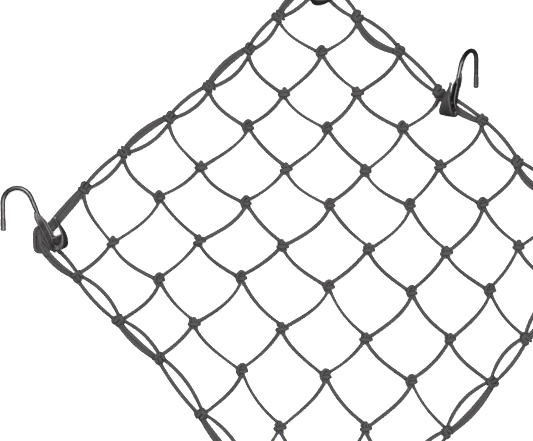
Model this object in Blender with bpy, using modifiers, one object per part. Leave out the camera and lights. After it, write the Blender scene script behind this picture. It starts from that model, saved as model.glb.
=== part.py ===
"""An elastic cargo net of 7 x 7 meshes, lying flat, with five wire hooks on its doubled edge cord.

Metres, +Z up. X runs along one side of the net and Y along the other. The sizes below are millimetres
and degrees, and MM turns them into metres where a mesh is made.
"""

import math

import bmesh
import bpy
import numpy as np
from mathutils import Matrix, Vector

MM = 0.001
GAP = 0.3
WELD = 1e-6
UP = Vector((0, 0, 1))

# The cord. Seven meshes of 50.8 (2 inches) a side make the net.
MESHES = 7
CORD = dict(width=2.7, height=2.0)
EDGE_CORD = dict(width=3.2, height=2.3)
EDGE_PAIR = dict(width=6.0, height=2.3)
CORD_SIDES = 4
LEG_STEPS = 4
EDGE_STEPS = 3

# Each row of knots runs from its first place to its last, and each column shifts its knots a little.
ROWS = (
    dict(first_x=-187, first_y=-155, last_x=-167, last_y=160),
    dict(first_x=-137, first_y=-170, last_x=-119, last_y=163),
    dict(first_x=-84, first_y=-168, last_x=-73, last_y=164),
    dict(first_x=-36, first_y=-170, last_x=-23, last_y=167),
    dict(first_x=25, first_y=-175, last_x=21, last_y=172),
    dict(first_x=85, first_y=-184, last_x=69, last_y=172),
    dict(first_x=146, first_y=-189, last_x=115, last_y=173),
    dict(first_x=201, first_y=-196, last_x=166, last_y=170),
)
COLUMNS = (
    dict(shift_x=1, shift_y=-3),
    dict(shift_x=-1, shift_y=-4),
    dict(shift_x=-2, shift_y=1),
    dict(shift_x=2, shift_y=2),
    dict(shift_x=4, shift_y=4),
    dict(shift_x=3, shift_y=3),
    dict(shift_x=-2, shift_y=0),
    dict(shift_x=-4, shift_y=0),
)
STAGGER_Y = -1.8
HELD_CORNER = dict(x=5, y=-12)

# A knot is a turned lump that is then flattened. In the meshes it has a lobe, a crease and a raised wrap.
MESH_KNOT = (
    dict(along=-5.4, radius=0.0),
    dict(along=-3.4, radius=4.5),
    dict(along=-0.7, radius=3.9),
    dict(along=0.3, radius=5.3),
    dict(along=3.0, radius=5.3),
    dict(along=5.2, radius=0.0),
)
EDGE_KNOT = (
    dict(along=-4.6, radius=0.0),
    dict(along=-2.6, radius=6.4),
    dict(along=2.6, radius=6.4),
    dict(along=4.6, radius=0.0),
)
KNOT_SIDES = 6
KNOT_HEIGHT = 6.6
SAG_HEIGHT = 1.4

# A leg is a cubic curve that hangs over the line between its knots. Its two inner handles stand off that
# line by these shares of its length. At each knot the cord is slack on one side and taut on the other.
SLACK_LEG = (0.175, 0.078)
TAUT_LEG = (0.085, 0.07)
EDGE_SAG = 1.35
SWAY = 0.02
DOWN = Vector((1, -1, 0)).normalized()

# The edge cord: on every other side of a mesh one strand is a pair. Slack is a share of the bows, one a mesh.
EDGES = (
    dict(row=0, column=0, along="Y", outward=-1, pair=1, slack=(0.1, 0.8, 1.0, 0.9, 1.1, 0.8, 1.0)),
    dict(row=0, column=7, along="X", outward=1, pair=-1, slack=(1.0, 1.2, 0.7, 0.5, 1.0, 1.1, 0.9)),
    dict(row=7, column=0, along="Y", outward=1, pair=1, slack=(1.0, 0.8, 1.0, 1.2, 1.0, 0.9, 1.0)),
    dict(row=0, column=0, along="X", outward=-1, pair=1, slack=(1.0, 1.0, 0.8, 0.9, 1.0, 1.1, 1.0)),
)
OUTER_BOW = 1.8
INNER_BOW = -4.2
EDGE_SPACING = 2.2

# The wire, in its own plane: out of the clip, round the bend and down the leg, whose end is turned down.
WIRE = dict(radius=2.1, crimped=9.0, bend_radius=13.7, bend_angle=157, leg=14.1)
SPIGOT = dict(radius=1.2, length=8.0)
BEND_STEPS = 11
SLEEVE = dict(radius=2.5, bore=1.6, length=10.0, floor=1.4, round=0.8)
SLEEVE_SIDES = 10

# The clip: a deep channel of bent sheet, whose curl flares and whose arm runs to a blunt end. Along and away
# are the place of its base from the wire's axis at the crimp.
SHEET = 1.1
CLIP = (
    dict(along=-2.0, away=-2.95, width=7.0, flange=5.6),
    dict(along=4.0, away=-2.95, width=7.0, flange=7.2),
    dict(along=9.6, away=-2.95, width=7.0, flange=7.4),
    dict(along=13.0, away=-2.95, width=6.2, flange=7.4),
    dict(along=22.0, away=-2.95, width=6.2, flange=7.4),
    dict(along=27.5, away=-2.8, width=8.2, flange=7.0),
    dict(along=32.3, away=-1.3, width=12.4, flange=5.8),
    dict(along=35.9, away=1.9, width=15.6, flange=4.2),
    dict(along=37.3, away=6.0, width=14.8, flange=3.2),
    dict(along=35.5, away=9.8, width=12.0, flange=3.2),
    dict(along=31.6, away=12.3, width=9.2, flange=3.2),
    dict(along=26.4, away=13.6, width=7.2, flange=2.9),
    dict(along=21.0, away=13.6, width=5.2, flange=2.2),
    dict(along=16.0, away=12.8, width=3.6, flange=1.8),
    dict(along=10.6, away=11.8, width=3.2, flange=1.7),
)

# Where each wire meets its clip, from the knot beside it. The clip and the wire are each rolled about the
# clip's line, and the neck is the bare wire between the clip and the bend.
CORNER_HOOK = dict(x=-18.2, y=15.8, heading=-20, neck=14.4, clip_roll=71, wire_roll=-101.8, lift=10.05)
SIDE_HOOK = dict(x=1.8, y=22.5, heading=-57.4, neck=7.7, clip_roll=-30, wire_roll=23, lift=8.2)
HOOKS = (
    dict(name="left", row=0, column=0, turn=0, shape=CORNER_HOOK),
    dict(name="top", row=0, column=7, turn=-90, shape=CORNER_HOOK),
    dict(name="right", row=7, column=7, turn=180, shape=CORNER_HOOK),
    dict(name="bottom", row=7, column=0, turn=90, shape=CORNER_HOOK),
    dict(name="side", row=3, column=7, turn=0, shape=SIDE_HOOK),
)


def clear_scene():
    for item in list(bpy.data.objects):
        bpy.data.objects.remove(item)


def collection_called(name, hidden=False):
    made = bpy.data.collections.new(name)
    made.hide_render = hidden
    bpy.context.scene.collection.children.link(made)
    return made


def finish_called(name, colour, metallic, roughness):
    made = bpy.data.materials.new(name)
    made.use_nodes = True
    shader = made.node_tree.nodes["Principled BSDF"]
    shader.inputs["Base Color"].default_value = (*colour, 1)
    shader.inputs["Metallic"].default_value = metallic
    shader.inputs["Roughness"].default_value = roughness
    made.diffuse_color = (*colour, 1)
    return made


def new_object(name, data, collection, parent=None):
    made = bpy.data.objects.new(name, data)
    made.parent = parent
    collection.objects.link(made)
    return made


def knot_place(row, column):
    """The middle of a knot."""
    ends, shift, way = ROWS[row], COLUMNS[column], column / MESHES
    x = ends["first_x"] + (ends["last_x"] - ends["first_x"]) * way + shift["shift_x"]
    y = ends["first_y"] + (ends["last_y"] - ends["first_y"]) * way + shift["shift_y"]
    y += STAGGER_Y * (-1) ** (row + column)
    if row == column == 0:
        x, y = x + HELD_CORNER["x"], y + HELD_CORNER["y"]
    return Vector((x, y, KNOT_HEIGHT / 2))


def sagging(points):
    """Lowers the middle of a strand towards the ground: its ends stay at the height of the knots."""
    ways = np.linspace(-1, 1, len(points))
    for point, way in zip(points, ways):
        point.z = SAG_HEIGHT + (KNOT_HEIGHT / 2 - SAG_HEIGHT) * way**2
    return points


def leg_path(row, column, next_row, next_column):
    """A cubic curve from the lower side of one knot to the upper side of the next."""
    upper, lower = knot_place(row, column), knot_place(next_row, next_column)
    side = UP.cross(DOWN) * (1 if next_row > row else -1)
    line = lower - upper
    hang = line.cross(UP) * (1 if next_row > row else -1)
    from_edge = row == 0 or column == MESHES
    is_slack = from_edge or ((row + column) % 2 == 0) == (next_row > row)
    sway = SWAY * math.sin(2.1 * row + 3.7 * column + (1.3 if next_row > row else 0))
    near, far = [share * (EDGE_SAG if from_edge else 1) + sway for share in (SLACK_LEG if is_slack else TAUT_LEG)]
    handles = (
        upper + DOWN * 3.2 + side * 1.6,
        upper + line / 3 + hang * near,
        upper + line * 2 / 3 + hang * far,
        lower - DOWN * 1.6 - side * 2.8,
    )
    points = []
    for t in np.linspace(0, 1, LEG_STEPS + 1):
        weights = ((1 - t) ** 3, 3 * t * (1 - t) ** 2, 3 * t * t * (1 - t), t**3)
        points.append(sum((handle * float(weight) for handle, weight in zip(handles, weights)), Vector()))
    return sagging(points)


def edge_paths(edge):
    """The strands of one edge from knot to knot, each with whether it is a pair."""
    step = (0, 1) if edge["along"] == "Y" else (1, 0)
    outward = Vector((1, 0, 0) if edge["along"] == "Y" else (0, 1, 0)) * edge["outward"]
    for mesh in range(MESHES):
        row, column = edge["row"] + step[0] * mesh, edge["column"] + step[1] * mesh
        first, last = knot_place(row, column), knot_place(row + step[0], column + step[1])
        doubled = (row + column) % 2 == 0
        for place, bow in ((1, OUTER_BOW), (-1, INNER_BOW)):
            points = [
                first.lerp(last, way)
                + outward * (place * EDGE_SPACING + bow * edge["slack"][mesh] * math.sin(math.pi * way))
                for way in np.linspace(0, 1, EDGE_STEPS + 1)
            ]
            yield sagging(points), doubled and place == edge["pair"]


def section_curve(name, width, height, helpers):
    """The cord's outline, with its lowest side level: the bevel of its strands."""
    curve = bpy.data.curves.new(name, "CURVE")
    spline = curve.splines.new("POLY")
    spline.points.add(CORD_SIDES - 1)
    spline.use_cyclic_u = True
    turns = [2 * math.pi * (index + 0.5) / CORD_SIDES - math.pi / 2 for index in range(CORD_SIDES)]
    across = width / 2 / max(math.cos(turn) for turn in turns)
    upright = height / 2 / max(math.sin(turn) for turn in turns)
    for turn, point in zip(turns, spline.points):
        point.co = (across * math.cos(turn) * MM, upright * math.sin(turn) * MM, 0, 1)
    return new_object(name, curve, helpers)


def path_curve(name, path, radii=None):
    curve = bpy.data.curves.new(name, "CURVE")
    curve.dimensions = "3D"
    curve.use_fill_caps = True
    spline = curve.splines.new("POLY")
    spline.points.add(len(path) - 1)
    for index, (point, place) in enumerate(zip(spline.points, path)):
        point.co = (*(place * MM), 1)
        point.radius = radii[index] if radii else 1
    return curve


def add_mesh_of(maker, whole, place=None):
    """Adds the evaluated mesh of an object to a bmesh, and removes the object."""
    mesh = bpy.data.meshes.new_from_object(maker.evaluated_get(bpy.context.evaluated_depsgraph_get()))
    if place:
        mesh.transform(place)
    whole.from_mesh(mesh)
    bpy.data.meshes.remove(mesh)


def mesh_object(name, whole, collection, parent):
    mesh = bpy.data.meshes.new(name)
    bmesh.ops.remove_doubles(whole, verts=whole.verts, dist=WELD)
    bmesh.ops.recalc_face_normals(whole, faces=whole.faces)
    whole.to_mesh(mesh)
    whole.free()
    return new_object(name, mesh, collection, parent)


def turned(name, profile, sides, collection, parent=None):
    """A profile of (radius, along) points at +X, turned about Z."""
    mesh = bpy.data.meshes.new(name)
    points = [(radius * MM, 0, along * MM) for radius, along in profile]
    mesh.from_pydata(points, [(index, index + 1) for index in range(len(points) - 1)], [])
    made = new_object(name, mesh, collection, parent)
    screw = made.modifiers.new("turn", "SCREW")
    screw.steps = screw.render_steps = sides
    screw.use_merge_vertices = True
    screw.merge_threshold = WELD
    return made


def knots(helpers, parent):
    """All knots as one mesh of separate lumps."""
    lumps = {}
    for name, profile in (("mesh_knot", MESH_KNOT), ("edge_knot", EDGE_KNOT)):
        outline = [(point["radius"], point["along"]) for point in reversed(profile)]
        widest = max(radius for radius, _ in outline) * math.cos(math.pi / KNOT_SIDES)
        level = Matrix.Rotation(math.pi / KNOT_SIDES - math.pi / 2, 4, "Z")
        squash = Matrix.Diagonal((1, KNOT_HEIGHT / 2 / widest, 1, 1))
        lumps[name] = turned(name, outline, KNOT_SIDES, helpers), squash @ level
    whole = bmesh.new()
    for row in range(MESHES + 1):
        for column in range(MESHES + 1):
            axis, kind = DOWN, "mesh_knot"
            if row in (0, MESHES) or column in (0, MESHES):
                axis, kind = Vector((0, 1, 0) if row in (0, MESHES) else (1, 0, 0)), "edge_knot"
            lump, shape = lumps[kind]
            # The lump's Z becomes the knot's axis in plan, and its Y stands up.
            basis = Matrix((UP.cross(axis), UP, axis)).transposed().to_4x4()
            add_mesh_of(lump, whole, Matrix.Translation(knot_place(row, column) * MM) @ basis @ shape)
    for lump, _ in lumps.values():
        bpy.data.objects.remove(lump)
    return mesh_object("knots", whole, helpers, parent)


def strands(helpers):
    """Yields the path of each strand, and the outline that it carries."""
    leg_section = section_curve("leg_section", **CORD, helpers=helpers)
    edge_section = section_curve("edge_section", **EDGE_CORD, helpers=helpers)
    pair_section = section_curve("pair_section", **EDGE_PAIR, helpers=helpers)
    for row in range(MESHES + 1):
        for column in range(MESHES + 1):
            if row < MESHES and 0 < column < MESHES:
                yield leg_path(row, column, row + 1, column), leg_section
            if column > 0 and 0 < row < MESHES:
                yield leg_path(row, column, row, column - 1), leg_section
    for edge in EDGES:
        for path, doubled in edge_paths(edge):
            yield path, pair_section if doubled else edge_section


def net(parts, helpers, parent, finish):
    """All strands and knots, fused to one solid."""
    whole = bmesh.new()
    for path, section in strands(helpers):
        curve = path_curve("strand", path)
        curve.twist_mode = "Z_UP"
        curve.bevel_mode = "OBJECT"
        curve.bevel_object = section
        strand = new_object("strand", curve, helpers)
        add_mesh_of(strand, whole)
        bpy.data.objects.remove(strand)
    made = mesh_object("net", whole, parts, parent)
    made.data.materials.append(finish)
    fuse = made.modifiers.new("fuse", "BOOLEAN")
    fuse.operation = "UNION"
    fuse.use_self = True
    fuse.object = knots(helpers, parent)


def wire_path(neck):
    """Points (along, 0, away) and radii of the wire, and the way its leg points."""
    points = [Vector((WIRE["crimped"], 0, 0)), Vector((0, 0, 0))]
    for step in range(BEND_STEPS + 1):
        turn = math.radians(WIRE["bend_angle"] * step / BEND_STEPS)
        out, over = math.sin(turn), 1 - math.cos(turn)
        points.append(Vector((-neck - WIRE["bend_radius"] * out, 0, WIRE["bend_radius"] * over)))
    ahead = Vector((-math.cos(turn), 0, math.sin(turn)))
    shoulder = points[-1] + ahead * WIRE["leg"]
    points += [shoulder, shoulder + ahead * GAP, shoulder + ahead * (GAP + SPIGOT["length"])]
    slim = SPIGOT["radius"] / WIRE["radius"]
    return points, [1] * (len(points) - 2) + [slim, slim], ahead


def hook_wire(name, neck, parts, parent):
    points, radii, _ = wire_path(neck)
    curve = path_curve(name, points, radii)
    curve.bevel_depth = WIRE["radius"] * MM
    curve.bevel_resolution = 2
    # Half a side of the round, so that a flat and not a corner faces the inside of the bend.
    for point in curve.splines[0].points:
        point.tilt = math.pi / 8
    return new_object(name, curve, parts, parent)


def hook_tip(name, neck, parts, parent):
    """A blind sleeve over the turned-down end of the wire."""
    points, _, ahead = wire_path(neck)
    radius, length, bore = SLEEVE["radius"], SLEEVE["length"], SLEEVE["bore"]
    floor = length - SLEEVE["floor"]
    profile = [(0, length), (radius - SLEEVE["round"], length), (radius, length - SLEEVE["round"]), (radius, 0)]
    profile += [(bore, 0), (bore, floor), (0, floor)]
    made = turned(name, profile, SLEEVE_SIDES, parts, parent)
    made.location = (points[-3] + ahead * 2 * GAP) * MM
    made.rotation_euler = ahead.to_track_quat("Z", "Y").to_euler()
    return made


def channel_outline(width, flange):
    """The (across, away) corners of the channel's section about the middle of its base."""
    half, base, rim = width / 2, SHEET / 2, flange - SHEET / 2
    right = [(half, -base), (half, rim), (half - SHEET, rim), (half - SHEET, base)]
    return right + [(-across, away) for across, away in reversed(right)]


def hook_clip(name, parts, parent):
    """The channel, lofted section by section from the crimp to the end of its arm."""
    places = [Vector((row["along"], 0, row["away"])) for row in CLIP]
    shape = bmesh.new()
    rings = []
    for index, row in enumerate(CLIP):
        ahead = (places[min(index + 1, len(CLIP) - 1)] - places[max(index - 1, 0)]).normalized()
        inward = ahead.cross(Vector((0, 1, 0)))
        outline = channel_outline(row["width"], row["flange"])
        rings.append([shape.verts.new((places[index] + Vector((0, y, 0)) + inward * z) * MM) for y, z in outline])
    corners = len(rings[0])
    for ring, following in zip(rings, rings[1:]):
        for one in range(corners):
            two = (one + 1) % corners
            shape.faces.new((ring[one], ring[two], following[two], following[one]))
    for end in (rings[0], rings[-1]):
        for face in ((0, 3, 4, 7), (0, 1, 2, 3), (4, 5, 6, 7)):
            shape.faces.new([end[corner] for corner in face])
    return mesh_object(name, shape, parts, parent)


def hook_pieces(hook, parts, parent, steel, cap):
    """A wire, its clip and its sleeve. They hang on an empty on the wire's line, where the clip begins."""
    shape = hook["shape"]
    turn = Matrix.Rotation(math.radians(hook["turn"]), 4, "Z")
    place = knot_place(hook["row"], hook["column"]) + turn @ Vector((shape["x"], shape["y"], 0))
    place.z = shape["lift"]
    rolls = {}
    for kind in ("clip", "wire"):
        rolls[kind] = new_object(f"{kind}_line_{hook['name']}", None, parts, parent)
        rolls[kind].location = place * MM
        rolls[kind].rotation_euler = (
            math.radians(-shape[f"{kind}_roll"]), 0, math.radians(hook["turn"] + shape["heading"])
        )
    hook_wire(f"hook_wire_{hook['name']}", shape["neck"], parts, rolls["wire"]).data.materials.append(steel)
    hook_clip(f"hook_clip_{hook['name']}", parts, rolls["clip"]).data.materials.append(steel)
    hook_tip(f"hook_tip_{hook['name']}", shape["neck"], parts, rolls["wire"]).data.materials.append(cap)


def centre_over_ground(root, parts):
    """Moves the root so that the middle of the whole part's outline in plan is over the origin."""
    graph = bpy.context.evaluated_depsgraph_get()
    places = []
    for item in parts.objects:
        if item.type == "EMPTY":
            continue
        solid = item.evaluated_get(graph)
        places += [solid.matrix_world @ corner.co for corner in solid.to_mesh().vertices]
        solid.to_mesh_clear()
    low, high = np.min(places, axis=0), np.max(places, axis=0)
    root.location = (-(low[0] + high[0]) / 2, -(low[1] + high[1]) / 2, -low[2])


def main():
    clear_scene()
    parts = collection_called("cargo_net")
    helpers = collection_called("cutters", hidden=True)
    cord = finish_called("braided_elastic_cord", (0.105, 0.105, 0.11), 0, 0.85)
    steel = finish_called("blackened_steel", (0.16, 0.15, 0.14), 0.9, 0.35)
    cap = finish_called("dipped_vinyl", (0.09, 0.088, 0.085), 0, 0.4)
    root = new_object("middle", None, parts)
    net(parts, helpers, root, cord)
    for hook in HOOKS:
        hook_pieces(hook, parts, root, steel, cap)
    bpy.context.view_layer.update()
    centre_over_ground(root, parts)
    for helper in helpers.objects:
        helper.hide_render = True
        helper.display_type = "WIRE"


main()
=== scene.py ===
import math
import bpy
import numpy as np
from mathutils import Matrix, Vector


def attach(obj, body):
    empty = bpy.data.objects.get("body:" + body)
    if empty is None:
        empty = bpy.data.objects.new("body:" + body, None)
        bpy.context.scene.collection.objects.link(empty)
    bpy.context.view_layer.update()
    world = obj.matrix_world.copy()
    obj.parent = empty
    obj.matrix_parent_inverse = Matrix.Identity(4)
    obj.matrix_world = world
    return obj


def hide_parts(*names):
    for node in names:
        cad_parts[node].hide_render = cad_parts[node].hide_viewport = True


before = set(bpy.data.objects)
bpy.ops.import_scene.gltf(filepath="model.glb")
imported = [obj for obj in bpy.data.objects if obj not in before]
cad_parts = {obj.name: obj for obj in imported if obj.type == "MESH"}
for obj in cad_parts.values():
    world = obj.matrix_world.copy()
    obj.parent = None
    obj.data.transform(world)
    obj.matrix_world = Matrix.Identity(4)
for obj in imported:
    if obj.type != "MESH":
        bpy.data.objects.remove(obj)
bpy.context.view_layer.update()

# All sizes are millimetres and degrees. X and Y run along the sides of the net.
millimetre = 0.001
rng = np.random.default_rng(41)
latticeShift = dict(x=5.66, y=17.7)
netHeight = 6.6

# Rows of knots from their first place to their last, and what each column adds.
rowsOfKnots = [
    dict(firstX=-187, firstY=-155, lastX=-167, lastY=160),
    dict(firstX=-137, firstY=-170, lastX=-119, lastY=163),
    dict(firstX=-84, firstY=-168, lastX=-73, lastY=164),
    dict(firstX=-36, firstY=-170, lastX=-23, lastY=167),
    dict(firstX=25, firstY=-175, lastX=21, lastY=172),
    dict(firstX=85, firstY=-184, lastX=69, lastY=172),
    dict(firstX=146, firstY=-189, lastX=115, lastY=173),
    dict(firstX=201, firstY=-196, lastX=166, lastY=170),
]
columnsOfKnots = [
    dict(shiftX=1, shiftY=-3),
    dict(shiftX=-1, shiftY=-4),
    dict(shiftX=-2, shiftY=1),
    dict(shiftX=2, shiftY=2),
    dict(shiftX=4, shiftY=4),
    dict(shiftX=3, shiftY=3),
    dict(shiftX=-2, shiftY=0),
    dict(shiftX=-4, shiftY=0),
]
lattice = dict(meshes=7, staggerY=-1.8, cornerX=5, cornerY=-12)

# Each leg is a cubic over the line between its two knots. Its four handles stand off that line by these
# shares of its length, and a slack leg hangs lower than a taut one.
leg = dict(
    slack=[0.025, 0.175, 0.078, 0.02],
    taut=[0.0, 0.085, 0.07, -0.03],
    edgeSag=1.35,
    sway=0.022,
    width=3.5,
    height=2.65,
    rings=26,
    sides=12,
    restHeight=1.6,
    twist=130,
)

edgeStrand = dict(
    width=3.6,
    height=2.4,
    outerBow=2.8,
    innerBow=-5.4,
    bowShape=0.85,
    spacing=1.5,
    pairSpacing=0.8,
    pairFan=0.9,
    endTwist=62,
    restTwist=0.25,
    rings=28,
    sides=12,
)
edgeSides = [
    dict(row=0, column=0, along="Y", outward=-1, pair=1, slack=[0.1, 0.8, 1.0, 0.9, 1.1, 0.8, 1.0]),
    dict(row=0, column=7, along="X", outward=1, pair=-1, slack=[1.0, 1.2, 0.7, 0.5, 1.0, 1.1, 0.9]),
    dict(row=7, column=0, along="Y", outward=1, pair=1, slack=[1.0, 0.8, 1.0, 1.2, 1.0, 0.9, 1.0]),
    dict(row=0, column=0, along="X", outward=-1, pair=1, slack=[1.35, 1.0, 0.8, 0.9, 1.0, 1.1, 1.0],
         firstInner=0.55),
]

# Turns of the cord in a knot: right, up and out are its own directions. Every other knot of the meshes
# shows the bight that stands up behind the wrap, and the rest show the turn that crosses over on the left.
frontKnotTurns = [
    dict(  # bight
        closed=False, width=2.9, height=2.5,
        right=[-1.7, -1.5, -1.2, 0.0, 1.2, 1.5, 1.7],
        up=[-5.4, -2.6, 1.6, 4.2, 1.6, -2.6, -5.4],
        out=[-0.6, 0.2, 1.1, 1.3, 1.1, 0.2, -0.6],
    ),
    dict(  # wrap
        closed=True, width=3.9, height=2.5,
        right=[-4.5, -3.2, 0.0, 3.2, 4.5, 3.2, 0.0, -3.2],
        up=[-1.9, -1.7, -1.4, -1.0, -0.8, -1.1, -1.4, -1.7],
        out=[0.0, 1.8, 2.5, 1.8, 0.0, -1.7, -2.0, -1.7],
    ),
    dict(  # shoulder
        closed=False, width=2.7, height=2.5,
        right=[-4.4, -3.0, 0.0, 3.0, 4.4],
        up=[1.6, 1.5, 1.2, 1.7, 2.2],
        out=[-1.2, -0.6, -0.6, -0.5, -1.0],
    ),
]
backKnotTurns = [
    dict(  # crossing
        closed=False, width=3.0, height=2.6,
        right=[2.2, 1.4, -0.6, -2.7, -3.8, -3.4, -1.8],
        up=[2.6, 4.6, 4.9, 2.9, 0.2, -2.4, -4.4],
        out=[0.2, 0.9, 1.6, 1.8, 1.3, 0.5, -0.6],
    ),
    dict(  # wrap
        closed=True, width=3.8, height=2.5,
        right=[-2.4, -1.0, 1.4, 3.4, 4.3, 3.2, 0.6, -1.6],
        up=[-1.5, -1.3, -0.9, -0.6, -0.5, -0.8, -1.1, -1.4],
        out=[0.4, 2.1, 2.7, 1.9, 0.0, -1.7, -2.0, -1.2],
    ),
    dict(  # shoulder
        closed=False, width=2.8, height=2.4,
        right=[4.2, 2.6, 0.6, -1.4, -3.6, -4.8],
        up=[3.0, 2.4, 1.8, 1.2, 0.8, 0.6],
        out=[-0.8, 0.0, 0.3, 0.1, -0.2, -0.6],
    ),
]
# Turns in a knot of the edge: along the edge, inward and out. The first kind has one wrap and three
# knuckles, and the second has two wraps under a turn that crosses them.
knuckleKnotTurns = [
    dict(  # wrap
        closed=True, width=3.5, height=2.6,
        right=[-3.2, -2.8, -2.3, -2.0, -1.9, -2.1, -2.4, -2.8],
        up=[-4.2, -3.0, 0.0, 3.0, 4.2, 3.0, 0.0, -3.0],
        out=[0.0, 1.9, 2.6, 1.9, 0.0, -1.8, -2.0, -1.8],
    ),
    dict(  # knuckleOut
        closed=False, width=3.3, height=2.6,
        right=[-1.6, 0.2, 1.8, 3.2, 3.6],
        up=[-2.6, -3.4, -3.9, -3.6, -2.4],
        out=[0.6, 1.8, 2.0, 0.9, -0.8],
    ),
    dict(  # knuckle
        closed=False, width=3.3, height=2.6,
        right=[-1.4, 0.6, 2.4, 4.0, 4.4],
        up=[0.4, 0.0, -0.4, -0.6, -0.6],
        out=[1.0, 2.1, 2.6, 1.4, -0.8],
    ),
    dict(  # knuckleIn
        closed=False, width=3.3, height=2.6,
        right=[-1.4, 0.2, 2.2, 3.8, 4.6],
        up=[3.2, 3.4, 3.2, 2.8, 2.0],
        out=[0.6, 1.8, 2.2, 1.0, -0.8],
    ),
]
crossedKnotTurns = [
    dict(  # wrapOne
        closed=True, width=3.3, height=2.6,
        right=[-1.4, -1.5, -1.9, -2.3, -2.4, -2.2, -1.8, -1.5],
        up=[-4.6, -3.4, 0.0, 3.0, 4.2, 3.0, 0.0, -3.4],
        out=[0.0, 1.7, 2.2, 1.7, 0.0, -1.7, -2.0, -1.7],
    ),
    dict(  # wrapTwo
        closed=True, width=3.3, height=2.6,
        right=[2.2, 2.0, 1.6, 1.3, 1.2, 1.4, 1.6, 2.0],
        up=[-4.2, -3.0, 0.0, 3.4, 4.8, 3.4, 0.0, -3.0],
        out=[0.0, 1.7, 2.2, 1.7, 0.0, -1.7, -2.0, -1.7],
    ),
    dict(  # crossing
        closed=False, width=3.7, height=2.4,
        right=[-3.9, -3.6, -1.6, 1.4, 3.7, 4.0],
        up=[-2.2, 0.2, 2.2, 2.6, 1.0, -1.6],
        out=[-0.8, 1.1, 2.9, 2.9, 1.1, -0.8],
    ),
    dict(  # lobe
        closed=False, width=3.2, height=2.4,
        right=[-2.0, -3.4, -4.0, -3.2, -0.8],
        up=[0.2, -1.2, -2.8, -4.0, -3.8],
        out=[0.2, 0.8, 0.8, 0.4, -0.4],
    ),
]
# Cords of a corner, where the hook's tongue lies over them: right, up and out as the seen corner has them.
cornerTurns = [
    dict(  # bight
        closed=False, width=3.1, height=2.5,
        right=[3.4, -1.0, -3.9, -5.0, -5.0, -4.7, -3.2, 0.0, 3.6, 7.0],
        up=[10.6, 11.4, 9.6, 6.0, 0.0, -6.6, -9.8, -10.4, -9.4, -7.6],
        out=[-0.9, -0.7, -0.5, -0.4, -0.4, -0.4, -0.6, -0.9, -1.1, -1.3],
    ),
    dict(  # wide
        closed=False, width=3.9, height=2.4,
        right=[3.6, 0.4, -0.7, -0.3, 0.9, 3.0, 5.8],
        up=[11.0, 9.0, 5.0, 0.0, -5.4, -10.4, -14.6],
        out=[-0.6, 0.5, 1.1, 1.2, 1.1, 0.7, -0.4],
    ),
    dict(  # third
        closed=False, width=3.0, height=2.4,
        right=[2.6, 1.8, 3.2, 6.0, 9.6, 13.4],
        up=[7.6, 3.6, -0.6, -4.4, -7.6, -10.0],
        out=[-0.6, 0.6, 1.0, 0.9, 0.4, -0.9],
    ),
    dict(  # under
        closed=False, width=3.6, height=2.2,
        right=[2.4, 2.2, 4.2, 6.6, 8.2],
        up=[2.0, -2.4, -6.0, -8.2, -8.0],
        out=[-1.4, -1.6, -1.7, -1.6, -1.6],
    ),
    dict(  # hidden
        closed=False, width=4.2, height=2.0,
        right=[0.4, -2.4, -2.9, -2.6, -1.0],
        up=[9.0, 5.0, 0.0, -5.4, -10.0],
        out=[-1.9, -2.1, -2.2, -2.2, -2.1],
    ),
    dict(  # tuck
        closed=False, width=3.4, height=2.4,
        right=[9.5, 4.0, 0.2, -2.4, -2.2],
        up=[13.4, 11.6, 9.6, 6.6, 2.6],
        out=[-0.8, 0.2, 0.6, 0.2, -0.9],
    ),
]
knotTurn = dict(edgeOn=0.8, rings=30, sides=12, turnSpread=9, sizeSpread=0.08, top=7.4)

wire = dict(
    radius=2.1, startRadius=1.2, crimped=9.0, thinner=0.45, thinOver=5.0, bendAngle=157,
    straightRings=16, bendRings=48, legRings=14, sides=24,
)
sleeve = dict(radius=2.4, length=10.4, gap=-0.4, rounding=0.8, sides=24)
# The clip's sections. Closed is how far its two walls fold over the wire, from 0 to 1.
clip = dict(
    sheet=0.95, rings=132, rimSide=25.5, foldSide=14, webTop=24.4, webRise=1.6, webAcross=24, bead=1.3,
    armFrom=0.46, armFade=6,
    tipAlong=10.9, tipAway=12.3, tipLong=3.9, tipWide=2.6,
    tabStart=1.6, tabEnd=9.2, tabDepth=1.25,
)
clipSections = [
    dict(along=-1.8, away=-2.1, width=3.7, flange=3.6, closed=0.9),
    dict(along=-0.6, away=-2.7, width=4.9, flange=4.9, closed=0.85),
    dict(along=1.5, away=-3.3, width=5.5, flange=6.0, closed=0.6),
    dict(along=5.0, away=-3.6, width=5.6, flange=6.9, closed=0.3),
    dict(along=9.0, away=-3.6, width=5.5, flange=7.2, closed=0.1),
    dict(along=12.0, away=-3.3, width=5.2, flange=7.0, closed=0.0),
    dict(along=17.0, away=-3.35, width=5.2, flange=7.2, closed=0.0),
    dict(along=22.5, away=-3.3, width=6.0, flange=7.2, closed=0.0),
    dict(along=27.5, away=-3.0, width=8.0, flange=6.9, closed=0.0),
    dict(along=32.2, away=-1.4, width=12.4, flange=5.7, closed=0.0),
    dict(along=35.9, away=1.8, width=16.6, flange=5.4, closed=0.0),
    dict(along=37.6, away=5.8, width=14.4, flange=5.0, closed=0.0),
    dict(along=36.0, away=9.8, width=13.4, flange=3.9, closed=0.0),
    dict(along=31.6, away=12.6, width=11.2, flange=2.7, closed=0.0),
    dict(along=26.5, away=14.0, width=8.4, flange=1.9, closed=0.0),
    dict(along=21.0, away=14.1, width=5.8, flange=1.5, closed=0.0),
    dict(along=16.0, away=13.3, width=3.3, flange=1.2, closed=0.0),
    dict(along=12.0, away=12.5, width=2.0, flange=1.1, closed=0.0),
]
cornerHook = dict(
    x=-18.0, y=15.7, heading=-18.5, wireHeading=-22, neck=14.4, bend=13.4, leg=14.0,
    clipRoll=71, wireRoll=-102, lift=10.05,
)
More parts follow.
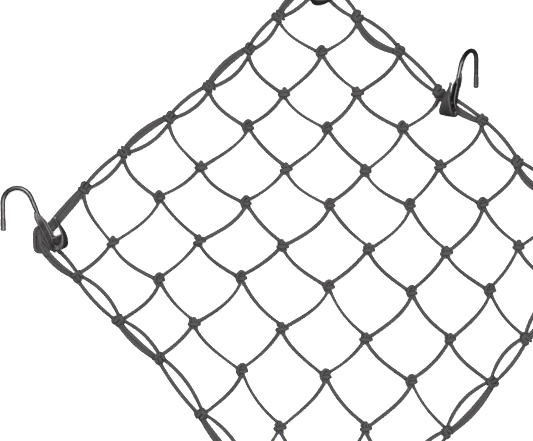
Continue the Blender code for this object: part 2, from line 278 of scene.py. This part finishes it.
sideHook = dict(
    x=1.8, y=22.5, heading=-57.4, wireHeading=-57.4, neck=7.7, bend=13.5, leg=15.8,
    clipRoll=-30, wireRoll=23, lift=8.2,
)
hooks = [
    dict(name="left", row=0, column=0, turn=0, shape=cornerHook),
    dict(name="top", row=0, column=7, turn=-90, shape=cornerHook),
    dict(name="right", row=7, column=7, turn=180, shape=cornerHook),
    dict(name="bottom", row=7, column=0, turn=90, shape=cornerHook),
    dict(name="side", row=3, column=7, turn=0, shape=sideHook),
]

view = dict(scale=0.8714, centreX=-53.6, centreY=-20.3, roll=45, lens=135, sensor=36, width=533)


def linearColour(code):
    # sRGB to linear: c / 12.92 below 0.04045, else ((c + 0.055) / 1.055) ^ 2.4
    values = [int(code[place:place + 2], 16) / 255 for place in (1, 3, 5)]
    return [value / 12.92 if value <= 0.04045 else ((value + 0.055) / 1.055) ** 2.4 for value in values] + [1]


def knotPlace(row, column):
    ends, shift, way = rowsOfKnots[row], columnsOfKnots[column], column / lattice["meshes"]
    x = ends["firstX"] + (ends["lastX"] - ends["firstX"]) * way + shift["shiftX"]
    y = ends["firstY"] + (ends["lastY"] - ends["firstY"]) * way + shift["shiftY"]
    y += lattice["staggerY"] * (-1) ** (row + column)
    if row == column == 0:
        x, y = x + lattice["cornerX"], y + lattice["cornerY"]
    return np.array([x + latticeShift["x"], y + latticeShift["y"], netHeight / 2])


def unit(vectors):
    return vectors / np.maximum(np.linalg.norm(vectors, axis=-1, keepdims=True), 1e-9)


def lengthsAlong(paths):
    steps = np.linalg.norm(np.diff(paths, axis=-2), axis=-1)
    return np.concatenate([np.zeros(steps.shape[:-1] + (1,)), np.cumsum(steps, axis=-1)], axis=-1)


def smoothThrough(points, count, closed=False):
    # Catmull-Rom: p = (2b + (c-a)t + (2a-5b+4c-d)t^2 + (3b-a-3c+d)t^3) / 2 between b and c
    points = np.asarray(points, float)
    spans = len(points) if closed else len(points) - 1
    t = np.linspace(0, spans, count, endpoint=not closed)
    span = np.minimum(t.astype(int), spans - 1)
    t = (t - span)[:, None]
    if closed:
        a, b, c, d = (points[(span + step) % len(points)] for step in (-1, 0, 1, 2))
    else:
        padded = np.concatenate([[2 * points[0] - points[1]], points, [2 * points[-1] - points[-2]]])
        a, b, c, d = (padded[span + step] for step in (0, 1, 2, 3))
    return (2 * b + (c - a) * t + (2 * a - 5 * b + 4 * c - d) * t**2 + (3 * b - a - 3 * c + d) * t**3) / 2


def carry(paths, outward, outline, closed=False):
    # Every point of the outline (across, out) is placed at path + across * side + out * outward, where the
    # side is at right angles to the path. Paths and outward are (strands, rings, 3).
    ahead = np.roll(paths, -1, 1) - np.roll(paths, 1, 1) if closed else np.gradient(paths, axis=1)
    side = unit(np.cross(unit(ahead), outward))
    outward = unit(np.cross(side, unit(ahead)))
    return paths[:, :, None] + outline[..., 0, None] * side[:, :, None] + outline[..., 1, None] * outward[:, :, None]


def ovalOutline(width, height, sides, twist):
    # A flat oval: across = w/2 sign(cos a) |cos a|^0.8, out = h/2 sign(sin a) |sin a|^0.8, turned by the twist
    angle = 2 * np.pi * np.arange(sides) / sides
    flat = lambda value: np.sign(value) * np.abs(value) ** 0.8
    across, out = width / 2 * flat(np.cos(angle)), height / 2 * flat(np.sin(angle))
    twist = np.asarray(twist)[..., None]
    return np.stack([across * np.cos(twist) - out * np.sin(twist), across * np.sin(twist) + out * np.cos(twist)], -1)


def surfaceObject(name, grids, material):
    # Each grid is (points, lengths, closed): points (strands, rings, sides, 3), closed round its sides, and
    # along its rings as well if closed is set. The UV map is (length along, share of the way round). A fourth
    # item gives each point's share of painted highlight, from 0 to 1. A face looks outward where (next ring) x
    # (next side) points outward, so a grid that runs round the other way is given with its sides reversed.
    places, corners, counts, uvs, paintedHighlights, first = [], [], [], [], [], 0
    for points, lengths, closed, *paintedHighlight in grids:
        paintedHighlights.append(np.broadcast_to(paintedHighlight[0] if paintedHighlight else 0.0, points.shape[:3]).reshape(-1))
        strands, rings, sides = points.shape[:3]
        strand, ring, side = np.meshgrid(
            np.arange(strands), np.arange(rings if closed else rings - 1), np.arange(sides), indexing="ij"
        )
        number = lambda r, s: first + (strand * rings + r % rings) * sides + s % sides
        step = lengths[:, -1:] / (rings if closed else rings - 1)
        quad = np.stack([
            number(ring, side), number(ring + 1, side), number(ring + 1, side + 1), number(ring, side + 1)
        ], -1)
        u = np.stack([ring, ring + 1, ring + 1, ring], -1) * step[:, :, None, None]
        v = np.stack([side, side, side + 1, side + 1], -1) / sides
        corners.append(quad.reshape(-1)), counts.append(np.full(quad.size // 4, 4))
        uvs.append(np.stack([u, v], -1).reshape(-1, 2))
        if not closed:
            around = np.arange(sides)
            start = first + np.arange(strands)[:, None] * rings * sides
            for cap in (start + around, start + (rings - 1) * sides + around[::-1]):
                corners.append(cap.reshape(-1)), counts.append(np.full(strands, sides))
                uvs.append(np.zeros((cap.size, 2)))
        places.append(points.reshape(-1, 3))
        first += points.size // 3
    places, corners, counts, uvs = (np.concatenate(part) for part in (places, corners, counts, uvs))
    mesh = bpy.data.meshes.new(name)
    mesh.vertices.add(len(places))
    mesh.vertices.foreach_set("co", (places * millimetre).reshape(-1))
    mesh.loops.add(len(corners))
    mesh.loops.foreach_set("vertex_index", corners.astype(np.int32))
    mesh.polygons.add(len(counts))
    mesh.polygons.foreach_set("loop_start", np.concatenate([[0], np.cumsum(counts)[:-1]]).astype(np.int32))
    mesh.update(calc_edges=True)
    mesh.uv_layers.new(name="along").data.foreach_set("uv", uvs.reshape(-1))
    # The share of painted highlight goes to the mesh as a point attribute.
    mesh.attributes.new("paintedHighlight", "FLOAT", "POINT").data.foreach_set("value", np.concatenate(paintedHighlights).astype(np.float32))
    mesh.shade_smooth()
    made = bpy.data.objects.new(name, mesh)
    bpy.context.scene.collection.objects.link(made)
    mesh.materials.append(material)
    return made


# Materials.
def newMaterial(name):
    material = bpy.data.materials.new(name)
    material.use_nodes = True
    return material, material.node_tree.nodes["Principled BSDF"]


def addNode(material, kind, settings=None, inputs=None):
    node = material.node_tree.nodes.new(kind)
    for key, value in (settings or {}).items():
        setattr(node, key, value)
    for key, value in (inputs or {}).items():
        if isinstance(value, bpy.types.NodeSocket):
            material.node_tree.links.new(value, node.inputs[key])
        else:
            node.inputs[key].default_value = value
    return node


def addMath(material, operation, one, two=0.0):
    return addNode(material, "ShaderNodeMath", dict(operation=operation), {0: one, 1: two}).outputs[0]


def joinTo(material, output, shader, socket):
    material.node_tree.links.new(output, shader.inputs[socket])


def braidMaterial(look):
    # Braided polyester sleeve of an elastic cord: two sets of yarns that run round it both ways.
    material, shader = newMaterial(look["name"])
    uv = addNode(material, "ShaderNodeUVMap", dict(uv_map="along")).outputs[0]
    split = addNode(material, "ShaderNodeSeparateXYZ", None, {0: uv}).outputs
    along = addMath(material, "MULTIPLY", split[0], 2 * math.pi / look["pitch"])
    around = addMath(material, "MULTIPLY", split[1], 2 * math.pi * look["yarns"])
    rightward = addMath(material, "SINE", addMath(material, "ADD", along, around))
    leftward = addMath(material, "SINE", addMath(material, "SUBTRACT", along, around))
    ridges = addMath(material, "MAXIMUM", rightward, leftward)
    height = addMath(material, "MULTIPLY_ADD", ridges, 0.5)
    place = addNode(material, "ShaderNodeTexCoord").outputs["Object"]
    cast = addNode(material, "ShaderNodeTexNoise", None, {"Vector": place, "Scale": look["castScale"], "Detail": 2.0})
    fuzz = addNode(material, "ShaderNodeTexNoise", None, {"Vector": place, "Scale": look["fuzzScale"], "Detail": 4.0})
    tint = addNode(material, "ShaderNodeValToRGB", None, {"Fac": cast.outputs["Fac"]})
    ramp = tint.color_ramp
    ramp.elements[0].position, ramp.elements[0].color = 0.35, linearColour(look["cool"])
    ramp.elements[1].position, ramp.elements[1].color = 0.65, linearColour(look["warm"])
    # Painted shade: the colour darkens in the grooves between the yarns, down to grooveShade of itself at the
    # deepest.
    shade = addNode(material, "ShaderNodeMapRange", None, {
        "Value": ridges, "From Min": -1.0, "From Max": 1.0, "To Min": look["grooveShade"], "To Max": 1.0
    })
    mixed = addNode(material, "ShaderNodeVectorMath", dict(operation="SCALE"), {
        0: tint.outputs["Color"], "Scale": shade.outputs[0]
    })
    joinTo(material, mixed.outputs[0], shader, "Base Color")
    rough = addNode(material, "ShaderNodeMapRange", None, {
        "Value": fuzz.outputs["Fac"], "To Min": 0.62, "To Max": 0.9
    })
    joinTo(material, rough.outputs[0], shader, "Roughness")
    relief = addNode(material, "ShaderNodeBump", None, {
        "Height": height, "Strength": look["relief"], "Distance": 0.0004
    })
    soft = addNode(material, "ShaderNodeBump", None, {
        "Height": fuzz.outputs["Fac"], "Strength": 0.15, "Distance": 0.0003, "Normal": relief.outputs[0]
    })
    joinTo(material, soft.outputs[0], shader, "Normal")
    shader.inputs["Sheen Weight"].default_value = look["sheen"]
    shader.inputs["Sheen Roughness"].default_value = 0.5
    shader.inputs["Specular IOR Level"].default_value = 0.3
    return material


def steelMaterial(look):
    # Blackened bent steel: a dark oxide, lighter in random patches, with fine drawing lines. Where the mesh asks for
    # it, a bright colour is mixed in as a painted highlight.
    material, shader = newMaterial(look["name"])
    place = addNode(material, "ShaderNodeTexCoord").outputs["Object"]
    worn = addNode(material, "ShaderNodeTexNoise", None, {"Vector": place, "Scale": look["wearScale"], "Detail": 5.0})
    fine = addNode(material, "ShaderNodeTexNoise", None, {"Vector": place, "Scale": look["fineScale"], "Detail": 3.0})
    tint = addNode(material, "ShaderNodeValToRGB", None, {"Fac": worn.outputs["Fac"]})
    ramp = tint.color_ramp
    ramp.elements[0].position, ramp.elements[0].color = 0.35, linearColour(look["dark"])
    ramp.elements[1].position, ramp.elements[1].color = 0.72, linearColour(look["bright"])
    # Painted highlight: the mesh's highlight share mixes in a bright colour and lowers the metallic.
    paintedHighlight = addNode(material, "ShaderNodeAttribute", dict(attribute_name="paintedHighlight")).outputs["Fac"]
    mixed = addNode(material, "ShaderNodeMix", dict(data_type="RGBA"), {
        0: paintedHighlight, 6: tint.outputs["Color"], 7: linearColour(look["paintedHighlight"])
    })
    joinTo(material, mixed.outputs[2], shader, "Base Color")
    metallic = addNode(material, "ShaderNodeMapRange", None, {
        "Value": paintedHighlight, "To Min": look["metallic"], "To Max": 0.3
    })
    joinTo(material, metallic.outputs[0], shader, "Metallic")
    rough = addNode(material, "ShaderNodeMapRange", None, {
        "Value": fine.outputs["Fac"], "To Min": look["smooth"], "To Max": look["rough"]
    })
    joinTo(material, rough.outputs[0], shader, "Roughness")
    relief = addNode(material, "ShaderNodeBump", None, {
        "Height": fine.outputs["Fac"], "Strength": 0.12, "Distance": 0.0002
    })
    joinTo(material, relief.outputs[0], shader, "Normal")
    return material


braid = braidMaterial(dict(
    name="braidedElasticCord", pitch=1.7, yarns=4, castScale=60, fuzzScale=2500,
    cool="#303132", warm="#363334", grooveShade=0.42, relief=0.5, sheen=0.0,
))
# The last colour of each steel is the colour of its painted highlight.
steel = steelMaterial(dict(
    name="blackenedSteel", wearScale=120, fineScale=1500,
    dark="#3d3b3c", bright="#5a5859", smooth=0.27, rough=0.42, metallic=0.85, paintedHighlight="#4f4c4a",
))
sheetSteel = steelMaterial(dict(
    name="blackenedSheetSteel", wearScale=120, fineScale=1500,
    dark="#282627", bright="#403e3f", smooth=0.48, rough=0.62, metallic=0.7, paintedHighlight="#53504e",
))
dipped = steelMaterial(dict(
    name="dippedSleeve", wearScale=150, fineScale=1500,
    dark="#363537", bright="#464446", smooth=0.3, rough=0.45, metallic=0.5, paintedHighlight="#4f4c4a",
))

# Meshes of the net: one cubic curve a leg, from the lower side of a knot to the upper side of the next.
meshes = lattice["meshes"]
up = np.array([0, 0, 1.0])
downward = unit(np.array([1.0, -1.0, 0.0]))
rightward = unit(np.array([1.0, 1.0, 0.0]))


def legHandles(row, column, nextRow, nextColumn):
    # Handles at 0, 1/3, 2/3 and 1 of the line between the knots, each off it by its share of the length
    upper, lower = knotPlace(row, column), knotPlace(nextRow, nextColumn)
    line = lower - upper
    length = np.linalg.norm(line)
    hang = unit(np.cross(up, line)) * (1 if nextRow > row else -1) * -1
    fromEdge = row == 0 or column == meshes
    isSlack = fromEdge or ((row + column) % 2 == 0) == (nextRow > row)
    shares = np.array(leg["slack"] if isSlack else leg["taut"]) * (leg["edgeSag"] if fromEdge else 1)
    shares[1:3] += leg["sway"] * math.sin(2.1 * row + 3.7 * column + (1.3 if nextRow > row else 0))
    return [upper + line * way + hang * share * length for way, share in zip((0, 1 / 3, 2 / 3, 1), shares)]


def sag(paths):
    # z = rest + (knot - rest) (2t - 1)^2: the ends are at the height of the knots and the middle rests
    way = np.linspace(-1, 1, paths.shape[1])
    paths[..., 2] = leg["restHeight"] + (netHeight / 2 - leg["restHeight"]) * way**2
    return paths


handles = []
for row in range(meshes + 1):
    for column in range(meshes + 1):
        if row < meshes and 0 < column < meshes:
            handles.append(legHandles(row, column, row + 1, column))
        if column > 0 and 0 < row < meshes:
            handles.append(legHandles(row, column, row, column - 1))
handles = np.array(handles)
t = np.linspace(0, 1, leg["rings"])
weights = np.stack([(1 - t) ** 3, 3 * t * (1 - t) ** 2, 3 * t * t * (1 - t), t**3], 1)
legPaths = sag(np.einsum("rk,skc->src", weights, handles))
legCount = len(legPaths)
turnStart = rng.uniform(0, math.pi, (legCount, 1))
legTwist = turnStart + np.radians(leg["twist"]) * rng.uniform(-1, 1, (legCount, 1)) * t
legOutline = ovalOutline(leg["width"], leg["height"], leg["sides"], legTwist)
legPoints = carry(legPaths, np.broadcast_to(up, legPaths.shape), legOutline)
netGrids = [(legPoints, lengthsAlong(legPaths), False)]

# Doubled edge: an outer and an inner strand a mesh, one of which is a pair on every other mesh.
edgePaths, edgeTwists = [], []
way = np.linspace(0, 1, edgeStrand["rings"])
swell = np.sin(np.pi * way)
for side in edgeSides:
    step = np.array([0, 1] if side["along"] == "Y" else [1, 0])
    outward = np.array([1.0, 0, 0] if side["along"] == "Y" else [0, 1.0, 0]) * side["outward"]
    for mesh in range(meshes):
        corner = np.array([side["row"], side["column"]]) + step * mesh
        first, last = knotPlace(*corner), knotPlace(*(corner + step))
        for place, bow in ((1, edgeStrand["outerBow"]), (-1, edgeStrand["innerBow"])):
            slack = side["slack"][mesh]
            if mesh == 0 and place < 0:
                slack = side.get("firstInner", slack)
            doubled = corner.sum() % 2 == 0 and place == side["pair"]
            for part in (-1, 1) if doubled else (0,):
                # Off the line between the knots: spacing + bow sin(pi t), and a pair fans out by sin(pi t) as well
                fan = part * (edgeStrand["pairSpacing"] + edgeStrand["pairFan"] * swell)
                bulge = place * edgeStrand["spacing"] + bow * slack * swell ** edgeStrand["bowShape"] + fan
                edgePaths.append(first + (last - first) * way[:, None] + outward * bulge[:, None])
                turn = math.radians(edgeStrand["endTwist"]) * rng.choice([-1, 1]) * rng.uniform(0.6, 1.1)
                edgeTwists.append(turn * np.cos(np.pi * way) ** 3 + rng.uniform(-1, 1) * edgeStrand["restTwist"])
edgePaths = sag(np.array(edgePaths))
edgeOutline = ovalOutline(edgeStrand["width"], edgeStrand["height"], edgeStrand["sides"], np.array(edgeTwists))
edgePoints = carry(edgePaths, np.broadcast_to(up, edgePaths.shape), edgeOutline)
netGrids.append((edgePoints, lengthsAlong(edgePaths), False))
netStrands = surfaceObject("netStrands", netGrids, braid)
print("strands", len(legPaths), len(edgePaths))


# Knots: the turns of the cord, each with its flat side outwards.
def knotGrids(turns, knots):
    grids = []
    for turn in turns:
        control = np.stack([turn["right"], turn["up"], turn["out"]], 1)
        path = smoothThrough(control, knotTurn["rings"], turn["closed"])
        paths = []
        for place, right, upward in knots:
            lean = math.radians(rng.uniform(-1, 1) * knotTurn["turnSpread"])
            size = 1 + rng.uniform(-1, 1, 2) * knotTurn["sizeSpread"]
            if turns is cornerTurns:
                lean, size = 0.0, np.ones(2)
            x = path[:, 0] * math.cos(lean) * size[0] - path[:, 1] * math.sin(lean) * size[1]
            y = path[:, 0] * math.sin(lean) * size[0] + path[:, 1] * math.cos(lean) * size[1]
            paths.append(place + x[:, None] * right + y[:, None] * upward + path[:, 2:3] * up)
        paths = np.array(paths)
        centre = np.array([place for place, _, _ in knots])[:, None]
        # Flat side outwards: from the middle of a closed turn, and mostly upwards on an open one
        if turn["closed"]:
            outward = unit(paths - paths.mean(1, keepdims=True))
        else:
            outward = unit(0.4 * (paths - centre) + 2.4 * up)
        # A wrap is narrower where it goes round the side: w (e + (1 - e) |out| / most)
        face = np.abs(path[:, 2]) / np.abs(path[:, 2]).max() if turn["closed"] else np.ones(len(path))
        outline = ovalOutline(turn["width"], turn["height"], knotTurn["sides"], np.zeros(paths.shape[:2]))
        narrowing = np.stack([knotTurn["edgeOn"] + (1 - knotTurn["edgeOn"]) * face, np.ones(len(path))], -1)
        outline = outline * narrowing[None, :, None]
        points = carry(paths, outward, outline, turn["closed"])
        points[..., 2] = np.clip(points[..., 2], 0.05, knotTurn["top"])
        grids.append((points, lengthsAlong(paths), turn["closed"]))
    return grids


frontKnots, backKnots, knuckleKnots, crossedKnots = [], [], [], []
for row in range(meshes + 1):
    for column in range(meshes + 1):
        place = knotPlace(row, column)
        onRow, onColumn = row in (0, meshes), column in (0, meshes)
        if onRow and onColumn:
            continue
        edgeKnots = knuckleKnots if (row + column) % 2 else crossedKnots
        if onRow:
            edgeKnots.append((place, np.array([0, 1.0, 0]), np.array([1.0 if row == 0 else -1.0, 0, 0])))
        elif onColumn:
            edgeKnots.append((place, np.array([1.0, 0, 0]), np.array([0, 1.0 if column == 0 else -1.0, 0])))
        else:
            (backKnots if (row + column) % 2 else frontKnots).append((place, rightward, -downward))
cornerKnots = []
for hook in hooks[:4]:
    turned = np.array(Matrix.Rotation(math.radians(hook["turn"]), 3, "Z"))
    cornerKnots.append((knotPlace(hook["row"], hook["column"]), turned @ rightward, turned @ -downward))
netKnots = surfaceObject("netKnots", [
    grid
    for turns, knots in (
        (frontKnotTurns, frontKnots), (backKnotTurns, backKnots), (knuckleKnotTurns, knuckleKnots),
        (crossedKnotTurns, crossedKnots), (cornerTurns, cornerKnots),
    )
    for grid in knotGrids(turns, knots)
], braid)
print("knots", len(frontKnots), len(backKnots), len(knuckleKnots), len(crossedKnots), len(cornerKnots))


# Hooks. Their points are (along, across, away) and their matrix rolls them about the line of the clip.
def hookMatrix(hook, kind):
    shape = hook["shape"]
    turn = Matrix.Rotation(math.radians(hook["turn"]), 4, "Z")
    place = Vector(knotPlace(hook["row"], hook["column"])) + turn @ Vector((shape["x"], shape["y"], 0))
    place.z = shape["lift"]
    angle = shape["wireHeading" if kind == "wire" else "heading"]
    heading = Matrix.Rotation(math.radians(angle), 4, "Z")
    roll = Matrix.Rotation(math.radians(-shape[kind + "Roll"]), 4, "X")
    return np.array(Matrix.Translation(place) @ turn @ heading @ roll)


def placed(points, matrix):
    return points @ matrix[:3, :3].T + matrix[:3, 3]


def wirePath(shape):
    # Straight out of the clip, an arc of the bend's radius about (-neck, radius), then the straight leg
    angle = np.radians(np.linspace(0, wire["bendAngle"], wire["bendRings"]))
    line = np.linspace(wire["crimped"], -shape["neck"] + 0.3, wire["straightRings"])
    straight = np.stack([line, np.zeros(len(line))], 1)
    bend = np.stack([-shape["neck"] - shape["bend"] * np.sin(angle), shape["bend"] * (1 - np.cos(angle))], 1)
    ahead = np.array([-math.cos(angle[-1]), math.sin(angle[-1])])
    reach = np.linspace(0.3, shape["leg"], wire["legRings"])
    legPart = bend[-1] + reach[:, None] * ahead
    flat = np.concatenate([straight, bend, legPart])
    return np.stack([flat[:, 0], np.zeros(len(flat)), flat[:, 1]], 1), np.array([ahead[0], 0, ahead[1]])


def roundOutline(radii, sides):
    angle = 2 * np.pi * np.arange(sides) / sides
    return radii[:, None, None] * np.stack([np.cos(angle), np.sin(angle)], -1)


def makeWire(hook):
    path, ahead = wirePath(hook["shape"])
    radii = np.full(len(path), wire["radius"])
    # It is squeezed thinner inside the clip, over its first straight part
    squeezed = np.clip(path[:, 0] / wire["thinOver"] + 1, 0, 1) * (np.arange(len(path)) < wire["straightRings"])
    radii -= wire["thinner"] * squeezed
    radii[0] = wire["startRadius"]
    outward = np.broadcast_to(np.array([0, 1.0, 0]), path[None].shape)
    points = carry(path[None], outward, roundOutline(radii, wire["sides"]))
    grid = (placed(points, hookMatrix(hook, "wire")), lengthsAlong(path[None]), False)
    piece = surfaceObject("wire_" + hook["name"], [grid], steel)
    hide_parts("hook_wire_" + hook["name"])
    return piece


def makeSleeve(hook):
    # The radius falls at both ends as a quarter circle: r - c + sqrt(c^2 - (c - d)^2), d from the end
    path, ahead = wirePath(hook["shape"])
    length, rounding = sleeve["length"], sleeve["rounding"]
    nearEnd = np.linspace(0, rounding, 7) ** 2 / rounding
    middle = np.linspace(rounding + 0.3, length - rounding - 0.3, 18)
    way = np.concatenate([nearEnd, middle, length - nearEnd[::-1]])
    depth = np.clip(rounding - np.minimum(way, length - way), 0, rounding)
    radii = sleeve["radius"] - rounding + np.sqrt(np.maximum(rounding**2 - depth**2, 0))
    start = path[-1] + ahead * sleeve["gap"]
    line = start + way[:, None] * ahead
    outward = np.broadcast_to(np.array([0, 1.0, 0]), line[None].shape)
    frameAlong = np.broadcast_to(ahead, line[None].shape)
    side = np.cross(frameAlong, outward)
    ring = roundOutline(radii, sleeve["sides"])
    across, out = ring[None, ..., 0, None], ring[None, ..., 1, None]
    points = line[None, :, None] + across * side[:, :, None] + out * outward[:, :, None]
    grid = (placed(points, hookMatrix(hook, "wire")), lengthsAlong(line[None]), False)
    piece = surfaceObject("sleeve_" + hook["name"], [grid], dipped)
    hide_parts("hook_tip_" + hook["name"])
    return piece


def channelOutline(width, flange, closed):
    # The middle line of the sheet runs from the middle of the back round a corner and up the wall. The wall
    # leans inwards by the closed share of a right angle. The sheet is that line thickened both ways.
    steps = np.linspace(0, 1, 9)
    half, lean = width / 2 - clip["sheet"] / 2, np.radians(90) * (1 + 0.75 * closed)
    radius = np.minimum(half * (0.3 + 0.65 * closed), 1.0 + 1.6 * closed)
    back = np.stack([(half - radius)[:, None] * steps[:-1] , np.zeros((len(width), 8))], -1)
    turn = lean[:, None] * steps
    corner = np.stack([
        (half - radius)[:, None] + radius[:, None] * np.sin(turn), radius[:, None] * (1 - np.cos(turn))
    ], -1)
    rest = np.maximum(flange - clip["sheet"] / 2 - radius * np.minimum(lean, 2.2), 0.15)
    upWall = np.stack([np.cos(lean), np.sin(lean)], -1)[:, None]
    wall = corner[:, -1:] + rest[:, None, None] * steps[None, 1:, None] * upWall
    line = np.concatenate([back, corner, wall], 1)
    ahead = unit(np.gradient(line, axis=1))
    normal = np.stack([ahead[..., 1], -ahead[..., 0]], -1)
    rim = line[:, -1:] + ahead[:, -1:] * clip["sheet"] * 0.42
    outer, inner = line + normal * clip["sheet"] / 2, line - normal * clip["sheet"] / 2
    rounding = normal[:, -1:] * 0.25 * clip["sheet"]
    half = np.concatenate([outer, rim + rounding, rim - rounding, inner[:, ::-1]], 1)
    mirrored = half[:, ::-1] * np.array([-1, 1])
    return np.concatenate([half, mirrored[:, 1:-1]], 1)


def makeClip(hook):
    keys = ("along", "away", "width", "flange", "closed")
    table = np.array([[row[key] for key in keys] for row in clipSections], float)
    rows = smoothThrough(table, clip["rings"])
    path = np.stack([rows[:, 0], np.zeros(len(rows)), rows[:, 1]], 1)[None]
    ahead = unit(np.gradient(path, axis=1))
    inward = np.cross(ahead, np.array([0, 1.0, 0]))
    outline = channelOutline(rows[:, 2], rows[:, 3], np.clip(rows[:, 4], 0, 1))
    across, out = outline[None, ..., 0, None], outline[None, ..., 1, None]
    points = path[:, :, None] + across * np.array([0, 1.0, 0]) + out * inward[:, :, None]
    # The rims and the folds get a painted highlight, and the arm a fainter painted highlight all over its outside
    side, count = np.arange(outline.shape[1]), outline.shape[1]
    side = np.minimum(side, count - side)
    onRim, onFold = np.abs(side - clip["rimSide"]) < 2, np.abs(side - clip["foldSide"]) < 3
    paintedHighlight = np.where(onRim, 0.7, np.where(onFold, 0.85, 0.0))
    armHighlight = np.where(onRim, 0.42, np.where(side < clip["rimSide"], 0.12, 0.0))
    arm = np.clip((np.arange(clip["rings"]) / clip["rings"] - clip["armFrom"]) * clip["armFade"], 0, 1)
    paintedHighlight = paintedHighlight[None] * (1 - arm[:, None]) + armHighlight[None] * arm[:, None]
    points = points[:, :, ::-1]
    grid = (placed(points, hookMatrix(hook, "clip")), lengthsAlong(path), False, paintedHighlight[None, :, ::-1])
    piece = surfaceObject("clip_" + hook["name"], [grid], sheetSteel)
    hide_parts("hook_clip_" + hook["name"])
    return piece


def makeWeb(hook):
    # A plate in the middle of the curl, from a slanted top down to the sheet: u = top + (sheet's u - top) v
    table = np.array([[row["along"], row["away"]] for row in clipSections], float)
    rows = smoothThrough(table, 400)
    curl = rows[rows[:, 0] > clip["webTop"]]
    across = np.linspace(curl[0, 1] + 0.4, curl[-1, 1] - 0.4, clip["webAcross"])
    bottom = np.interp(across, curl[:, 1], curl[:, 0])[:, None]
    top = clip["webTop"] + clip["webRise"] * np.linspace(0, 1, clip["webAcross"])[:, None]
    # Its top edge is rolled over into a bead
    share = np.array([0, 0.015, 0.06, 0.12, 0.17, 0.5, 1.0])
    thick = clip["bead"] * np.array([0.5, 0.85, 1.0, 0.85, 0.5, 0.5, 0.5])
    depth = top + np.maximum(bottom - top, 0.3) * share
    level = np.broadcast_to(across[:, None], depth.shape)
    face = lambda sign: np.stack([depth, np.broadcast_to(sign * thick, depth.shape), level], -1)
    points = np.concatenate([face(1), face(-1)[:, ::-1]], 1)[None]
    # The blunt end of the arm is an ellipsoid: long along the clip, and thin across it
    lean, ring = np.linspace(0.02, np.pi - 0.02, 20), 2 * np.pi * np.arange(16) / 16
    tip = np.stack([
        clip["tipAlong"] - clip["tipLong"] / 2 * np.cos(lean)[:, None] * np.ones(16),
        clip["tipWide"] / 2 * np.sin(lean)[:, None] * np.cos(ring),
        clip["tipAway"] + clip["tipLong"] / 2 * np.sin(lean)[:, None] * np.sin(ring),
    ], -1)[None]
    # Behind the crimp the sheet's seam stands out as a low tab
    tabLine = np.linspace(clip["tabStart"], clip["tabEnd"], 12)
    tabBack = np.interp(tabLine, table[:7, 0], table[:7, 1])
    square = np.array([(-0.5, 0.6), (0.5, 0.6), (0.5, -1.0), (0.3, -1.0), (-0.3, -1.0), (-0.5, -1.0)])
    tab = np.stack([
        np.broadcast_to(tabLine[:, None], (12, 6)),
        np.broadcast_to(square[:, 0] * clip["sheet"] * 1.6, (12, 6)),
        tabBack[:, None] + np.where(square[:, 1] > 0, 0.6, -clip["tabDepth"]),
    ], -1)[None]
    matrix = hookMatrix(hook, "clip")
    # Painted highlight on the bead's top edge and on the arm's blunt tip; the tab gets none.
    beadHighlight = np.array([1.0, 1.0, 1.0, 0.6, 0.0, 0.0, 0.0])
    paintedHighlights = (np.concatenate([beadHighlight, beadHighlight[::-1]]), 0.8, 0.0)
    grids = [
        (placed(part, matrix), lengthsAlong(part[:, :, 0]), False, highlightShare)
        for part, highlightShare in zip((points, tip[:, :, ::-1], tab), paintedHighlights)
    ]
    return surfaceObject("web_" + hook["name"], grids, sheetSteel)


hookPieces = [make(hook) for hook in hooks for make in (makeWire, makeSleeve, makeClip, makeWeb)]
print("hooks", len(hookPieces))

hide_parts("net")
for piece in [netStrands, netKnots] + hookPieces:
    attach(piece, "root")

# Floor, soft light and camera.
floorSize = 3.0
floorMesh = bpy.data.meshes.new("floor")
floorCorners = [(x * floorSize, y * floorSize, -0.0002) for x, y in ((-1, -1), (1, -1), (1, 1), (-1, 1))]
floorMesh.from_pydata(floorCorners, [], [(0, 1, 2, 3)])
floor = bpy.data.objects.new("floor", floorMesh)
bpy.context.scene.collection.objects.link(floor)
# Matt white paper under the net.
paper, paperShader = newMaterial("whitePaper")
paperShader.inputs["Base Color"].default_value = linearColour("#f6f6f6")
paperShader.inputs["Roughness"].default_value = 0.95
floorMesh.materials.append(paper)
floor.visible_diffuse = False
floor.visible_glossy = False

world = bpy.data.worlds.new("studio")
world.use_nodes = True
world.node_tree.nodes["Background"].inputs["Color"].default_value = (1, 1, 1, 1)
world.node_tree.nodes["Background"].inputs["Strength"].default_value = 0.03
bpy.context.scene.world = world

softBoxes = [
    dict(name="keyLight", place=(-0.75, 0.15, 1.9), size=1.0, power=73),
    dict(name="fillLight", place=(0.75, 0.1, 1.9), size=1.0, power=54),
]
for box in softBoxes:
    data = bpy.data.lights.new(box["name"], "AREA")
    data.size, data.energy = box["size"], box["power"]
    light = bpy.data.objects.new(box["name"], data)
    light.location = box["place"]
    light.rotation_mode = "QUATERNION"
    light.rotation_quaternion = (-Vector(box["place"])).to_track_quat("-Z", "Y")
    bpy.context.scene.collection.objects.link(light)

cameraData = bpy.data.cameras.new("camera")
cameraData.lens, cameraData.sensor_width = view["lens"], view["sensor"]
camera = bpy.data.objects.new("camera", cameraData)
bpy.context.scene.collection.objects.link(camera)
distance = view["scale"] * view["width"] / view["sensor"] * view["lens"]
spot = Vector((view["centreX"] + latticeShift["x"], view["centreY"] + latticeShift["y"], distance + netHeight / 2))
camera.matrix_world = Matrix.Translation(spot * millimetre) @ Matrix.Rotation(math.radians(view["roll"]), 4, "Z")
bpy.context.scene.camera = camera
bpy.context.scene.view_settings.view_transform = "Standard"
